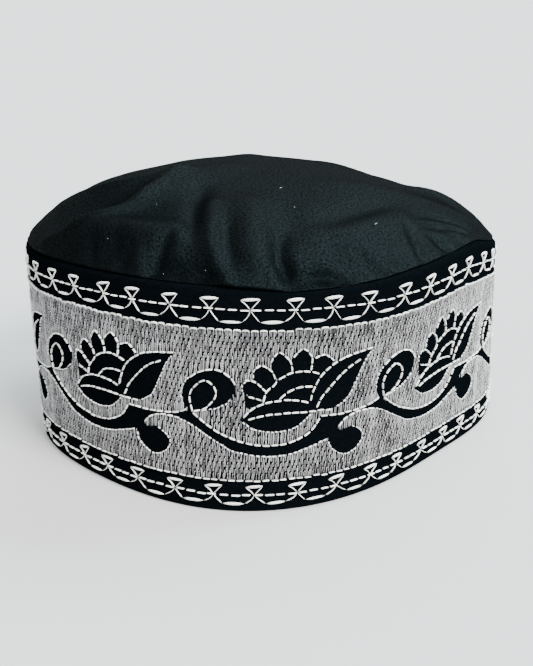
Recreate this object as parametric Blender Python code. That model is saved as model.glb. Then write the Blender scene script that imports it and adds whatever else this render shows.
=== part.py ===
"""A kufi cap: a stiffened cloth band with two pierced fields of silver embroidery, and a gathered crown.

The cap rests on its rim at z = 0. Its front is toward -Y and its long axis runs along Y.
A bearing is measured in degrees from the front, toward +X.
"""

import bmesh
import bpy
import numpy as np
from mathutils import Vector
from mathutils.geometry import delaunay_2d_cdt

MM = 0.001

# One upright section every 30 degrees round the band, in mm: radius at the rim, radius and height at the seam.
SECTIONS = [
    # bearing, rim_radius, seam_radius, seam_height
    (0, 97, 99, 79),
    (30, 93, 95, 82),
    (60, 95, 95, 83),
    (90, 89, 92, 82),
    (120, 80, 86, 82),
    (150, 85, 86, 79),
    (180, 97, 95, 71),
    (210, 92, 92, 73),
    (240, 87, 89, 77),
    (270, 89, 91, 78),
    (300, 89, 91, 79),
    (330, 92, 95, 78),
]
RIM_RADIUS, SEAM_RADIUS, SEAM_HEIGHT = np.array(SECTIONS, dtype=float).T[1:]

# Heights on the band are nominal: 0 at the rim and BAND_HEIGHT at the seam, whatever the section's own height.
BAND_HEIGHT = 80.0
FIELD_BOTTOM = 12.0
FIELD_TOP = 66.0

# Layers of the wall, in mm outward from the outline of the sections.
BAND_OUTSIDE = -0.6
BAND_THICKNESS = 2.5
BAND_INSIDE = BAND_OUTSIDE - BAND_THICKNESS
HEM_ROUND = 0.5
BAND_ROWS = 4
PIECE_GAP = 0.3
STITCH_INSIDE = BAND_OUTSIDE + PIECE_GAP
STITCH_OUTSIDE = STITCH_INSIDE + 0.8

# The embroidery repeats round the band. The first repeat starts this far along the wall from the front, in mm.
REPEATS = 8
FIRST_REPEAT = 19.4
COLUMNS_PER_REPEAT = 9
CHART_WIDTH = 72.3

# The vine's stem across one repeat, in mm: place along the repeat, lower edge and upper edge.
STEM = [
    # along, lower_edge, upper_edge
    (0.0, 32.6, 34.9),
    (5.0, 31.6, 36.4),
    (9.1, 29.5, 33.3),
    (14.7, 26.2, 29.9),
    (20.2, 23.1, 27.2),
    (25.8, 21.9, 25.8),
    (33.0, 21.1, 24.8),
    (39.6, 21.5, 25.5),
    (45.1, 22.4, 27.3),
    (49.6, 24.0, 30.8),
    (51.7, 24.9, 34.1),
    (54.7, 25.4, 34.0),
    (58.8, 28.8, 33.9),
    (61.8, 31.6, 33.8),
    (66.5, 33.2, 34.2),
    (72.3, 32.6, 34.9),
]
STEM_ALONG, STEM_LOWER, STEM_UPPER = np.array(STEM).T

# Corners of the chart closer than this, in mm, are one corner.
CHART_MERGE_DISTANCE = 1e-4

# Round parts of the vine and the flower: ellipses, in mm and degrees.
ROUND_PARTS = [
    # name, along, height, half_length, half_width, lean, sides
    ("curl", 12.1, 44.1, 10.2, 7.3, 20, 16),
    ("berry", 62.4, 23.2, 7.1, 4.9, 14, 14),
    ("petal_1", 27.4, 40.4, 3.3, 2.0, 0, 8),
    ("petal_2", 28.3, 45.2, 4.6, 2.5, -30, 10),
    ("petal_3", 31.6, 49.6, 4.4, 3.0, -62, 10),
    ("petal_4", 37.3, 54.0, 4.2, 3.3, -78, 10),
    ("petal_5", 45.0, 55.1, 3.9, 3.4, 90, 10),
    ("petal_6", 52.5, 53.2, 4.2, 3.0, 25, 10),
]

# Pointed parts of the vine and the flower, in mm along and up.
POINTED_PARTS = {
    "curl_neck": [(3.6, 34.0), (4.0, 38.5), (9.0, 39.0), (6.3, 34.5)],
    "heart": [
        (26.3, 36.9), (30.4, 43.5), (30.9, 47), (36.5, 50.5), (41, 52), (47, 52.5), (52, 52),
        (55.6, 51.8), (51, 46), (49, 39), (40, 38),
    ],
    "big_leaf": [
        (50.7, 36.6), (47.5, 40.0), (49.0, 44.0), (52.1, 49.4), (57.6, 53.1), (63.2, 55.0), (70.4, 55.3),
        (66.8, 48.8), (64.8, 44.1), (62.1, 39.7), (57.6, 36.9), (53.4, 36.2),
    ],
    "lower_leaf": [
        (23.6, 34.1), (27.7, 38.6), (33, 40.8), (41, 41), (48, 40), (51, 36.8),
        (47, 34.3), (43.2, 31.6), (38.2, 30.2), (33, 30.2), (28, 31.2),
    ],
}

# The crown: a dome over the seam, in mm. Its reach is 0 at the apex and 1 at the seam.
CROWN_RISE = 24.0
CROWN_SHOULDER = 3.0
CROWN_BULGE = 2.0
BULGE_REACH = 0.7
SIDE_TURN = 6
CROWN_THICKNESS = 1.5
APEX_ALONG_X = -6.5
APEX_ALONG_Y = -7.5
CROWN_COLUMNS = 104
CROWN_REACHES = [1.0, 0.975, 0.935, 0.88, 0.8, 0.7, 0.57, 0.4, 0.2]

# Folds of the crown: each runs from its top through its middle to its foot, as bearing and reach.
# Its height is positive for a ridge and negative for a groove, in mm.
FOLDS = [
    # top_bearing, top_reach, mid_bearing, mid_reach, foot_bearing, foot_reach, height, half_width
    (342, 0.10, 28, 0.52, 16, 0.93, 3.0, 10),
    (15, 0.34, 7, 0.60, 350, 0.84, 2.2, 9),
    (22, 0.62, 17, 0.76, 6, 0.88, -1.6, 8),
    (42, 0.38, 56, 0.62, 60, 0.80, -1.8, 7),
    (58, 0.62, 65, 0.85, 68, 0.98, 1.4, 6),
    (68, 0.68, 70, 0.83, 71, 0.96, -1.8, 5),
    (76, 0.55, 76, 0.78, 76, 0.97, 1.6, 7),
    (84, 0.74, 82, 0.88, 81, 0.98, -2.2, 5),
    (28, 0.86, 31, 0.93, 34, 0.99, -1.3, 4),
    (38, 0.84, 40, 0.92, 42, 0.99, -1.2, 4),
    (49, 0.80, 50, 0.90, 50, 0.99, -1.6, 4),
    (88, 0.91, 90, 0.96, 92, 0.99, -1.8, 5),
    (94, 0.82, 94, 0.89, 95, 0.97, -1.4, 4),
    (100, 0.84, 101, 0.91, 102, 0.98, -1.2, 4),
    (108, 0.86, 108, 0.92, 108, 0.98, -1.3, 4),
    (116, 0.84, 115, 0.92, 114, 0.98, -1.2, 4),
    (126, 0.87, 124, 0.93, 122, 0.98, -1.2, 4),
    (134, 0.84, 141, 0.91, 145, 0.97, -1.4, 5),
    (186, 0.66, 174, 0.82, 154, 0.92, 3.4, 12),
    (196, 0.55, 200, 0.78, 203, 0.97, -1.6, 6),
    (222, 0.62, 219, 0.80, 218, 0.97, 1.5, 7),
    (236, 0.58, 237, 0.78, 240, 0.97, -1.7, 6),
    (262, 0.50, 258, 0.74, 257, 0.97, 1.6, 8),
    (276, 0.60, 277, 0.80, 280, 0.97, -1.6, 6),
    (306, 0.62, 304, 0.80, 301, 0.97, -1.6, 6),
    (322, 0.66, 325, 0.82, 328, 0.97, 1.4, 7),
]
FOLD_SAMPLES = 14
FOLD_END_STRENGTH = 0.12
FOLD_SWELL = 0.7
SEAM_FADE = 0.03

# Gathers all round the seam, in mm. They fade out toward the apex.
GATHERS = 36
GATHER_DEPTH = 0.7
GATHER_REACH = 0.86

# Colours of the two cloths and the thread.
BAND_BLACK = (0.008, 0.008, 0.010)
CROWN_BLACK = (0.010, 0.012, 0.013)
SILVER = (0.52, 0.51, 0.53)


def round_the_cap(values, bearing):
    """A smooth closed curve through one value for each section, read at a bearing in degrees."""
    waves = np.fft.rfft(values) / len(values)
    angle = np.radians(bearing)
    result = np.full(np.shape(angle), waves[0].real)
    highest = len(values) // 2
    for order in range(1, highest + 1):
        share = 1 if order == highest else 2
        wave = waves[order]
        result = result + share * (wave.real * np.cos(order * angle) - wave.imag * np.sin(order * angle))
    return result


def plan_point(radius, bearing):
    """A point in plan, from its radius in mm and its bearing in degrees."""
    angle = np.radians(bearing)
    return np.stack([radius * np.sin(angle), -radius * np.cos(angle)], axis=-1)


# The wall's length round the cap, measured at mid height, and the way out of the wall at each bearing.
WALK_STEPS = 1440
WALK_BEARINGS = np.linspace(0, 360, WALK_STEPS + 1)
WALK_RADII = round_the_cap((RIM_RADIUS + SEAM_RADIUS) / 2, WALK_BEARINGS)
WALK = plan_point(WALK_RADII, WALK_BEARINGS)
WALK_LENGTHS = np.concatenate([[0], np.cumsum(np.linalg.norm(np.diff(WALK, axis=0), axis=1))])
PERIMETER = WALK_LENGTHS[-1]
WALK_TANGENTS = np.gradient(WALK, axis=0)
WALK_TANGENTS[0] = WALK_TANGENTS[-1] = WALK[1] - WALK[-2]
WALK_TANGENTS /= np.linalg.norm(WALK_TANGENTS, axis=1, keepdims=True)
WALK_OUTWARD = np.stack([WALK_TANGENTS[:, 1], -WALK_TANGENTS[:, 0]], axis=-1)


def cap_centre():
    """The middle of the cap's bounding box in plan, in mm."""
    rim = plan_point(round_the_cap(RIM_RADIUS, WALK_BEARINGS), WALK_BEARINGS)
    seam = plan_point(round_the_cap(SEAM_RADIUS, WALK_BEARINGS), WALK_BEARINGS)
    both = np.concatenate([rim, seam])
    return (both.min(axis=0) + both.max(axis=0)) / 2


CENTRE = cap_centre()


def outward(bearing):
    """The horizontal direction out of the wall at a bearing."""
    turned = np.mod(bearing, 360)
    return np.stack([np.interp(turned, WALK_BEARINGS, WALK_OUTWARD[:, axis]) for axis in (0, 1)], axis=-1)


def wall_point(bearing, height, out):
    """A point of the wall in metres, from its bearing, its nominal height and its distance outward in mm."""
    share = height / BAND_HEIGHT
    rim = round_the_cap(RIM_RADIUS, bearing)
    radius = rim + (round_the_cap(SEAM_RADIUS, bearing) - rim) * share
    flat = plan_point(radius, bearing) + outward(bearing) * out - CENTRE
    z = round_the_cap(SEAM_HEIGHT, bearing) * share
    return np.column_stack([flat, z]) * MM


def make_object(name, points, faces, colour, roughness, metallic=0.0, smooth_angle=40):
    """One closed, smooth-shaded object with its own material."""
    mesh = bpy.data.meshes.new(name)
    mesh.from_pydata([tuple(point) for point in points], [], faces)
    shape = bmesh.new()
    shape.from_mesh(mesh)
    bmesh.ops.recalc_face_normals(shape, faces=shape.faces)
    shape.to_mesh(mesh)
    shape.free()
    mesh.shade_smooth()
    mesh.set_sharp_from_angle(angle=np.radians(smooth_angle))
    material = bpy.data.materials.new(name)
    material.use_nodes = True
    shader = material.node_tree.nodes["Principled BSDF"]
    shader.inputs["Base Color"].default_value = (*colour, 1)
    shader.inputs["Roughness"].default_value = roughness
    shader.inputs["Metallic"].default_value = metallic
    mesh.materials.append(material)
    thing = bpy.data.objects.new(name, mesh)
    bpy.context.scene.collection.objects.link(thing)
    return thing


def ring_faces(rows, columns):
    """Quads between each row and the next of a closed ring of rows, each row a closed loop of columns."""
    faces = []
    for row in range(rows):
        above = (row + 1) % rows
        for column in range(columns):
            right = (column + 1) % columns
            faces.append((
                row * columns + column,
                row * columns + right,
                above * columns + right,
                above * columns + column,
            ))
    return faces


def repeat_bearings(columns_per_repeat):
    """Bearings of evenly spaced columns round the wall, with one at the start of every repeat."""
    total = REPEATS * columns_per_repeat
    lengths = FIRST_REPEAT + PERIMETER * np.arange(total) / total
    return np.interp(np.mod(lengths, PERIMETER), WALK_LENGTHS, WALK_BEARINGS)


def build_band():
    """The wall round the head: a closed section with a rounded hem, carried round the cap."""
    rows = np.linspace(FIELD_BOTTOM, FIELD_TOP, BAND_ROWS + 1)
    section = [(BAND_INSIDE + HEM_ROUND, 0.0), (BAND_OUTSIDE - HEM_ROUND, 0.0), (BAND_OUTSIDE, HEM_ROUND)]
    section += [(BAND_OUTSIDE, height) for height in rows]
    section += [(BAND_OUTSIDE, BAND_HEIGHT), (BAND_INSIDE, BAND_HEIGHT)]
    section += [(BAND_INSIDE, height) for height in rows[::-2]]
    section += [(BAND_INSIDE, HEM_ROUND)]
    bearings = repeat_bearings(COLUMNS_PER_REPEAT)
    points = [wall_point(bearings, height, out) for out, height in section]
    faces = ring_faces(len(section), len(bearings))
    return make_object("band", np.concatenate(points), faces, BAND_BLACK, roughness=0.8)


def ellipse(along, height, half_length, half_width, lean, sides):
    """The corners of an ellipse, leaning by an angle in degrees."""
    turn = np.radians(lean)
    angles = 2 * np.pi * np.arange(sides) / sides
    length = half_length * np.cos(angles)
    width = half_width * np.sin(angles)
    return np.column_stack([
        along + length * np.cos(turn) - width * np.sin(turn),
        height + length * np.sin(turn) + width * np.cos(turn),
    ])


def motif_outlines():
    """The outlines that are cut through the embroidery in one repeat."""
    lower = np.column_stack([STEM_ALONG, STEM_LOWER])
    upper = np.column_stack([STEM_ALONG, STEM_UPPER])
    outlines = [np.concatenate([lower, upper[::-1]])]
    for _name, *shape in ROUND_PARTS:
        outlines.append(ellipse(*shape))
    for corners in POINTED_PARTS.values():
        outlines.append(np.array(corners, dtype=float))
    return outlines


def is_inside(point, outline):
    """Whether a point in the chart lies inside a closed outline."""
    x, y = point
    x0, y0 = outline.T
    x1, y1 = np.roll(outline, -1, axis=0).T
    crosses = (y0 > y) != (y1 > y)
    rise = np.where(crosses, y1 - y0, 1)
    meets = x0 + (y - y0) * (x1 - x0) / rise
    return np.count_nonzero(crosses & (meets > x)) % 2 == 1


def chart_triangles():
    """One repeat's chart as triangles, split at every outline and every column of the wall."""
    columns = CHART_WIDTH * np.arange(COLUMNS_PER_REPEAT + 1) / COLUMNS_PER_REPEAT
    outlines = motif_outlines()
    points = []
    edges = []

    def add_line(line, closed):
        first = len(points)
        points.extend(Vector(place) for place in line)
        edges.extend((first + step, first + step + 1) for step in range(len(line) - 1))
        if closed:
            edges.append((first + len(line) - 1, first))

    for along in columns:
        add_line([(along, FIELD_BOTTOM), (along, FIELD_TOP)], closed=False)
    for height in (FIELD_BOTTOM, FIELD_TOP):
        add_line([(0, height), (CHART_WIDTH, height)], closed=False)
    for outline in outlines:
        add_line(outline, closed=True)
    corners, _edges, triangles, *_ids = delaunay_2d_cdt(points, edges, [], 0, CHART_MERGE_DISTANCE)
    corners = np.array([tuple(corner) for corner in corners])
    middles = [corners[list(triangle)].mean(axis=0) for triangle in triangles]
    kept = [
        (triangle, middle) for triangle, middle in zip(triangles, middles)
        if not any(is_inside(middle, outline) for outline in outlines)
    ]
    return corners, kept


def build_embroidery(name, above_vine, corners, kept):
    """A pierced skin of stitching: the chart's triangles above or below the stem, carried round the wall."""
    numbers = {}
    front = []
    for repeat in range(REPEATS):
        for triangle, (along, height) in kept:
            stem_middle = np.interp(along, STEM_ALONG, (STEM_LOWER + STEM_UPPER) / 2)
            if (height > stem_middle) != above_vine:
                continue
            face = []
            for index in triangle:
                share = round(repeat + corners[index][0] / CHART_WIDTH, 5) % REPEATS
                place = (share, round(corners[index][1], 3))
                face.append(numbers.setdefault(place, len(numbers)))
            front.append(tuple(face))
    shares, heights = np.array(list(numbers)).T
    lengths = np.mod(FIRST_REPEAT + shares * PERIMETER / REPEATS, PERIMETER)
    bearings = np.interp(lengths, WALK_LENGTHS, WALK_BEARINGS)
    outside = wall_point(bearings, heights, STITCH_OUTSIDE)
    inside = wall_point(bearings, heights, STITCH_INSIDE)
    count = len(numbers)
    back = [tuple(count + index for index in reversed(face)) for face in front]
    sides = {(face[step - 1], face[step]) for face in front for step in range(3)}
    walls = [
        (end, start, count + start, count + end)
        for start, end in sorted(sides) if (end, start) not in sides
    ]
    points = np.concatenate([outside, inside])
    return make_object(name, points, front + back + walls, SILVER, roughness=0.45, metallic=0.1)


def crown_plan(bearing, reach):
    """A place of the crown in plan, in mm, from arrays of bearings and reaches."""
    reach = reach[..., None]
    apex = np.array([APEX_ALONG_X, APEX_ALONG_Y])
    return plan_point(round_the_cap(SEAM_RADIUS, bearing), bearing) * reach + apex * (1 - reach ** 2)


def fold_heights(flat):
    """How far the folds lift the crown at each point of its plan, in mm."""
    total = np.zeros(flat.shape[:-1])
    along = np.linspace(0, 1, FOLD_SAMPLES)
    for *stations, height, half_width in FOLDS:
        top, middle, foot = crown_plan(np.array(stations[0::2]), np.array(stations[1::2]))
        pull = 2 * middle - (top + foot) / 2
        line = (
            np.outer((1 - along) ** 2, top)
            + np.outer(2 * along * (1 - along), pull)
            + np.outer(along ** 2, foot)
        )
        strength = np.sin(np.pi * (FOLD_END_STRENGTH + (1 - 2 * FOLD_END_STRENGTH) * along)) ** FOLD_SWELL
        distance = np.linalg.norm(flat[..., None, :] - line, axis=-1)
        total += height * np.max(strength * np.exp(-(distance / half_width) ** 2), axis=-1)
    return total


def crown_surface(bearing, reach):
    """The crown's outer surface in mm at arrays of bearings and reaches, with its folds and gathers.

    Near the seam the folds push the steep side outward, and toward the apex they lift the top.
    """
    flat = crown_plan(bearing, reach)
    folds = fold_heights(flat) * np.clip((1 - reach) / SEAM_FADE, 0, 1)
    edge = np.clip((reach - GATHER_REACH) / (1 - GATHER_REACH), 0, 1)
    gathers = GATHER_DEPTH * np.sin(np.radians(bearing) * GATHERS) * np.sin(np.pi * edge)
    bulge = CROWN_BULGE * np.sin(np.pi * np.clip((reach - BULGE_REACH) / (1 - BULGE_REACH), 0, 1))
    side = reach ** SIDE_TURN
    push = (folds + gathers + BAND_OUTSIDE) * side + bulge
    level = round_the_cap(SEAM_HEIGHT, bearing) * reach ** 2 + np.mean(SEAM_HEIGHT) * (1 - reach ** 2)
    rise = CROWN_RISE * (1 - reach ** CROWN_SHOULDER)
    z = PIECE_GAP + level + rise + (folds + gathers) * (1 - side / 2)
    flat = flat + outward(bearing) * push[..., None]
    return np.concatenate([flat - CENTRE, z[..., None]], axis=-1)


def build_crown():
    """The soft top: a folded dome with an inner face, closed round its lower edge."""
    bearings = 360 * np.arange(CROWN_COLUMNS) / CROWN_COLUMNS
    reaches = np.array(CROWN_REACHES)
    grid_bearings, grid_reaches = np.meshgrid(bearings, reaches)
    outer = crown_surface(grid_bearings, grid_reaches)
    apex = crown_surface(np.array([0.0]), np.array([0.0]))
    round_way = np.roll(outer, -1, axis=1) - np.roll(outer, 1, axis=1)
    up_way = np.gradient(outer, axis=0)
    normals = np.cross(round_way, up_way)
    normals[0, :, 2] = 0
    normals /= np.linalg.norm(normals, axis=-1, keepdims=True)
    inner = outer - normals * CROWN_THICKNESS
    rows = len(reaches)
    points = np.concatenate([
        outer.reshape(-1, 3), apex, inner.reshape(-1, 3), apex - [[0, 0, CROWN_THICKNESS]],
    ]) * MM
    faces = []
    layer = rows * CROWN_COLUMNS + 1
    for start in (0, layer):
        for row in range(rows - 1):
            for column in range(CROWN_COLUMNS):
                right = (column + 1) % CROWN_COLUMNS
                low = start + row * CROWN_COLUMNS
                high = low + CROWN_COLUMNS
                faces.append((low + column, low + right, high + right, high + column))
        last = start + (rows - 1) * CROWN_COLUMNS
        tip = start + rows * CROWN_COLUMNS
        for column in range(CROWN_COLUMNS):
            faces.append((last + column, last + (column + 1) % CROWN_COLUMNS, tip))
    for column in range(CROWN_COLUMNS):
        right = (column + 1) % CROWN_COLUMNS
        faces.append((column, layer + column, layer + right, right))
    return make_object("crown", points, faces, CROWN_BLACK, roughness=0.55, smooth_angle=60)


def main():
    for thing in list(bpy.data.objects):
        bpy.data.objects.remove(thing, do_unlink=True)
    build_band()
    corners, kept = chart_triangles()
    build_embroidery("embroidery_above_vine", True, corners, kept)
    build_embroidery("embroidery_below_vine", False, corners, kept)
    build_crown()


main()
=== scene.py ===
"""The looks of a kufi cap: black sateen crown, black band, and silver vine embroidery as real stitches.

The chart of the embroidery is flat: millimetres along the wall, and nominal height above the rim.
Every stitch is drawn in that chart and carried onto the wall by wall_point().
"""

import bpy
import numpy as np
from mathutils import Matrix, Vector


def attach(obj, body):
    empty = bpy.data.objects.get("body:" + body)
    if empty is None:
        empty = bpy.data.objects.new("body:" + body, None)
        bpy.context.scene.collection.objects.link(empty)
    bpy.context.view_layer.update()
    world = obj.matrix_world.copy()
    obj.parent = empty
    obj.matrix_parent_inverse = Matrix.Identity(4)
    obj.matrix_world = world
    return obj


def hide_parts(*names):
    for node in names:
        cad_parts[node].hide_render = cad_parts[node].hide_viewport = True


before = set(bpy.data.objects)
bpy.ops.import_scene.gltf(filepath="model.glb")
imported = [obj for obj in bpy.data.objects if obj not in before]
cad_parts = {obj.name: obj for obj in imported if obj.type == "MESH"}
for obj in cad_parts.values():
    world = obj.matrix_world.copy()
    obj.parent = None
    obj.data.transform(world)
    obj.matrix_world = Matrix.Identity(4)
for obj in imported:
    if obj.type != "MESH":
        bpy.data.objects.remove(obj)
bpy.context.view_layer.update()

MM = 0.001
SEED = 7

# The outline of the cap, as in the CAD: one upright section every 30 degrees round the band, in mm.
SECTIONS = [
    # bearing, rim_radius, seam_radius, seam_height
    (0, 97, 99, 79),
    (30, 93, 95, 82),
    (60, 95, 95, 83),
    (90, 89, 92, 82),
    (120, 80, 86, 82),
    (150, 85, 86, 79),
    (180, 97, 95, 71),
    (210, 92, 92, 73),
    (240, 87, 89, 77),
    (270, 89, 91, 78),
    (300, 89, 91, 79),
    (330, 92, 95, 78),
]
RIM_RADIUS, SEAM_RADIUS, SEAM_HEIGHT = np.array(SECTIONS, dtype=float).T[1:]
BAND_HEIGHT = 80.0
FIELD_BOTTOM = 12.0
FIELD_TOP = 66.0
REPEATS = 8
FIRST_REPEAT = 19.4
CHART_WIDTH = 72.3

# Layers of the wall, in mm outward from the outline of the sections.
CLOTH_OUT = -0.45
BAND_INSIDE = -3.1
FILL_CREST = -0.2
OUTLINE_CREST = 0.25

# The black shapes of one repeat that the grey stitches leave open, in mm along the repeat and up.
# A point that stands twice makes a sharp corner.
OPEN_SHAPES = {
    "vine": [
        (0, 32.6), (3.6, 32.2), (9.1, 29.5), (14.7, 26.2), (20.2, 23.1), (25.8, 21.9), (31.3, 21.1),
        (36.9, 21.2), (42.3, 21.8), (47.9, 23.4), (54.7, 25.4), (54.7, 25.4), (56.2, 21.9), (59, 19.25),
        (62.6, 18.1), (66.8, 19.5), (69.4, 23), (68.2, 25.8), (64.6, 28.1), (60.2, 27.4), (58.6, 28.7),
        (58.6, 28.7), (61.8, 31.6), (65.9, 33.3), (72.3, 32.9), (72.3, 32.9), (72.3, 34.9), (72.3, 34.9),
        (67.3, 34.25), (61.8, 33.8), (51.7, 34.1), (51.7, 34.1), (49.6, 30.8), (45.1, 27.3), (39.6, 25.5),
        (33, 24.8), (25.8, 25.8), (20.2, 27.2), (14.7, 29.9), (9.1, 33.3), (6.3, 35.8), (6.3, 35.8),
        (3.6, 35.8), (0, 34.9), (0, 34.9), (0, 32.6),
    ],
    "curl": [
        (3.6, 34.5), (4.0, 36.6), (2.7, 39.4), (2.4, 42.4), (3.8, 46.3), (7.7, 49.8), (13, 51.6), (18, 50.9),
        (21.3, 47.7), (21.3, 43.6), (18.6, 40.1), (15.8, 38.3), (10.2, 36.6), (6.9, 36.1), (6.0, 34.5),
    ],
    "petal_1": [(25.0, 42.6), (28.6, 42.1), (31.2, 41.2), (28.4, 39.4), (25.4, 38.5)],
    "petal_2": [
        (24.4, 46.1), (25.8, 47.9), (28.4, 48.0), (30.3, 46.4), (32.3, 44.4), (31.3, 41.4), (28.6, 42.3),
        (25.4, 43.3),
    ],
    "petal_3": [
        (28.2, 51.4), (30.8, 53.6), (33.5, 52.2), (35.5, 48.7), (32.6, 44.8), (30.4, 46.5), (28.2, 49.0),
    ],
    "petal_4": [
        (34.0, 54.6), (36.75, 58.1), (40.2, 55.6), (41.3, 52.6), (41.0, 50.9), (36.2, 48.8), (35.4, 49.6),
        (34.2, 51.9),
    ],
    "petal_5": [
        (41.2, 55.6), (42.6, 57.8), (45, 58.9), (47.8, 57.0), (48.4, 54.2), (47.9, 51.1), (45, 51.3),
        (41.3, 51.1), (41.3, 53),
    ],
    "petal_6": [(49.0, 55.5), (53.2, 56.4), (56.7, 53.7), (51.6, 49.8), (48.0, 51.2), (48.6, 54)],
    "flower": [
        (23.6, 34.1), (23.6, 34.1), (27.7, 38.6), (30.6, 40.4), (32, 44.0), (35.4, 48.0), (38.4, 50.4),
        (45.1, 52.2), (49.6, 51.2), (54, 51.5), (57.6, 53.3), (63.2, 55.2), (71.8, 56.0), (71.8, 56.0),
        (68.6, 51.8), (64.8, 44.1), (62.1, 39.7), (57.6, 36.9), (53.4, 36.2), (49.6, 36.4), (48.2, 35.8),
        (43.2, 31.6), (38.2, 30.2), (33, 30.1), (28, 31.2),
    ],
}

# The white outline stitches of one repeat, in mm along and up. A weight picks a row of LINE_WEIGHTS.
OUTLINES = [
    # weight, points
    ("bold", [
        (6.4, 36.0), (5.4, 41.3), (7.2, 45.2), (11.1, 47.7), (14.4, 45.5), (14.7, 42.0), (11.3, 38),
        (6.6, 36.2),
    ]),
    ("bold", [(5.5, 48.3), (9.9, 51.1), (15.8, 51.8), (20.2, 49.3), (21.9, 46.6)]),
    ("bold", [
        (6.3, 36.0), (10.5, 32.6), (16.0, 29.3), (22, 26.8), (29, 25.2), (37, 25.0), (43, 26.4), (48.4, 29.4),
        (51.7, 34.0),
    ]),
    ("bold", [(51.7, 34.2), (61.8, 34.0), (67.3, 34.4), (72.3, 35.1), (75.8, 36.2), (76.3, 36.9)]),
    ("bold", [(58.8, 28.9), (61.8, 31.8), (66.5, 33.3), (72.3, 33.2), (74, 32.8)]),
    ("bold", [(24.1, 34.9), (27.7, 38.6), (32.7, 40.6), (38, 41.3), (43.4, 40.9), (47.4, 39.8)]),
    ("bold", [(36.8, 41.6), (40.1, 44.25), (44.2, 45.6), (49.1, 45.5)]),
    ("bold", [(47.9, 40.2), (49.1, 44.4), (52.1, 49.4), (57.6, 53.3), (63.2, 55.2), (72.2, 56.4)]),
    ("bold", [(31.2, 40.6), (32.4, 44.4), (35.4, 47.2), (35.9, 48.6)]),
    ("bold", [(36.4, 48.7), (40.9, 50.8), (46, 51.3), (51.2, 49.8)]),
    ("bold", [(50.1, 37.4), (52.3, 41.3), (55.9, 45.2), (60.7, 49.7), (67.1, 52.9)]),
    ("bold", [(25.8, 34.4), (31.3, 35.9), (38, 36.5), (49.8, 36.4), (56.5, 36.3)]),
    ("fine", [(26, 42.9), (28.6, 42.2), (31.1, 41.3)]),
    ("fine", [(24.7, 48.6), (28, 48.3), (30.2, 46.6), (32.4, 44.7)]),
    ("fine", [(28.6, 52.6), (30.8, 53.9), (33.6, 52.4), (34.9, 50.8), (35.6, 48.8)]),
    ("fine", [(34.0, 54.7), (36.75, 58.4), (40.4, 55.5), (41.3, 52.7), (41.3, 51.3)]),
    ("fine", [(41.6, 56.2), (45, 59.3), (48.3, 56.5), (48.4, 54), (47.9, 51.3)]),
    ("fine", [(49.3, 55.6), (53.2, 56.6), (56.7, 53.7)]),
    ("edge", [(2.4, 40.4), (2.1, 42.4), (3.6, 46.5), (5.4, 48.3)]),
    ("edge", [(9.0, 36.6), (15.8, 38.4), (20.2, 41.6)]),
    ("edge", [
        (55.2, 24.2), (56.1, 21.7), (59, 19.1), (62.6, 17.9), (66.8, 19.3), (69.6, 23), (68.3, 26.0),
        (64.6, 28.3),
    ]),
    ("edge", [(71.4, 55.2), (68.8, 51.8), (65.0, 44.1), (62.3, 39.6), (57.8, 36.8)]),
    ("edge", [(24.0, 33.6), (28, 31.0), (33, 29.9), (38.2, 30.0), (43.2, 31.4), (48.4, 35.6)]),
    ("edge", [(1.0, 32.8), (4.8, 31.7), (9.1, 29.3), (14.7, 26.0), (20.2, 22.9), (25.8, 21.7)]),
    ("hem", [(26.5, 21.5), (31.3, 20.9), (36.9, 21.0), (42.3, 21.6), (47.9, 23.2), (54.4, 25.3)]),
    ("edge", [(24.3, 44.4), (24.1, 46.6), (25.4, 48.3)]),
    ("edge", [(28.0, 49.2), (28.0, 51.4), (28.7, 52.6)]),
]
LINE_WEIGHTS = {
    # weight: dash, gap, width, crest
    "bold": (2.6, 0.42, 0.62, OUTLINE_CREST),
    "fine": (2.0, 0.36, 0.58, OUTLINE_CREST),
    "edge": (1.0, 0.5, 0.40, 0.1),
    "hem": (1.3, 0.55, 0.42, 0.2),
}


def round_the_cap(values, bearing):
    """A smooth closed curve through one value for each section, read at a bearing in degrees."""
    waves = np.fft.rfft(values) / len(values)
    angle = np.radians(bearing)
    result = np.full(np.shape(angle), waves[0].real)
    highest = len(values) // 2
    for order in range(1, highest + 1):
        share = 1 if order == highest else 2
        wave = waves[order]
        result = result + share * (wave.real * np.cos(order * angle) - wave.imag * np.sin(order * angle))
    return result


def plan_point(radius, bearing):
    """A point in plan, from its radius in mm and its bearing in degrees."""
    angle = np.radians(bearing)
    return np.stack([radius * np.sin(angle), -radius * np.cos(angle)], axis=-1)


# The wall's length round the cap, measured at mid height, and the way out of the wall at each bearing.
WALK_STEPS = 1440
WALK_BEARINGS = np.linspace(0, 360, WALK_STEPS + 1)
WALK = plan_point(round_the_cap((RIM_RADIUS + SEAM_RADIUS) / 2, WALK_BEARINGS), WALK_BEARINGS)
WALK_LENGTHS = np.concatenate([[0], np.cumsum(np.linalg.norm(np.diff(WALK, axis=0), axis=1))])
PERIMETER = WALK_LENGTHS[-1]
WALK_TANGENTS = np.gradient(WALK, axis=0)
WALK_TANGENTS[0] = WALK_TANGENTS[-1] = WALK[1] - WALK[-2]
WALK_TANGENTS /= np.linalg.norm(WALK_TANGENTS, axis=1, keepdims=True)
WALK_OUTWARD = np.stack([WALK_TANGENTS[:, 1], -WALK_TANGENTS[:, 0]], axis=-1)


def cap_centre():
    """The middle of the cap's bounding box in plan, in mm."""
    rim = plan_point(round_the_cap(RIM_RADIUS, WALK_BEARINGS), WALK_BEARINGS)
    seam = plan_point(round_the_cap(SEAM_RADIUS, WALK_BEARINGS), WALK_BEARINGS)
    both = np.concatenate([rim, seam])
    return (both.min(axis=0) + both.max(axis=0)) / 2


CENTRE = cap_centre()

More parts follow.
